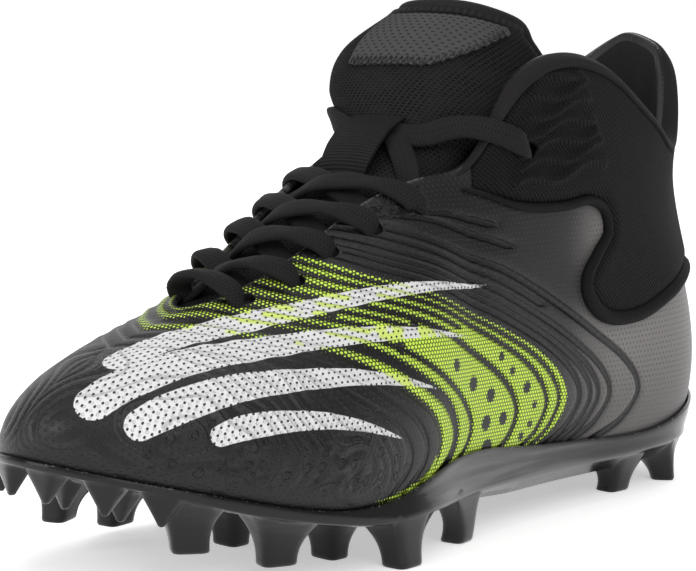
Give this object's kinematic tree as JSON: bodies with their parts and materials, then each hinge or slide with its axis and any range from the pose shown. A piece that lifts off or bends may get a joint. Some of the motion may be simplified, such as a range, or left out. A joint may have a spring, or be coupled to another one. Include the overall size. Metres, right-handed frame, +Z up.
{
  "type": "lacrosse shoe",
  "caption": "High-cut lacrosse shoe for the left foot: hollow laced upper with padded ankle cuff and tongue on a moulded stud plate.",
  "frame": {"origin": "floor level under the studs, centre of the shoe's box", "axes": "+X to the toe, +Y to the outer side of the foot, +Z up"},
  "size_m": [0.2828, 0.1008, 0.1595],
  "materials": {
    "moulded_plate": "glossy black moulded plastic, smoky at the heel",
    "film_shell": "black embossed film with printed green and white, fading to grey at the heel",
    "sock_liner": "black knit over foam",
    "tongue_mesh": "black open mesh over foam",
    "cuff_mesh": "black ribbed mesh over foam",
    "seam_cord": "dark rounded welded edge",
    "patch_film": "dark grey perforated film",
    "webbing": "black ribbed webbing",
    "lace_weave": "black flat braided lace"
  },
  "bodies": {
    "root": {"sole_plate": "moulded_plate", "upper": "film_shell", "insole": "sock_liner", "tongue": "tongue_mesh", "ankle_cuff": "cuff_mesh", "cuff_piping": "seam_cord", "tongue_patch": "patch_film", "tongue_loop": "webbing", "lace_bar": "lace_weave", "lace_cross_1": "lace_weave", "lace_cross_2": "lace_weave", "lace_cross_3": "lace_weave", "lace_cross_4": "lace_weave", "lace_top": "lace_weave"}
  },
  "joints": []
}
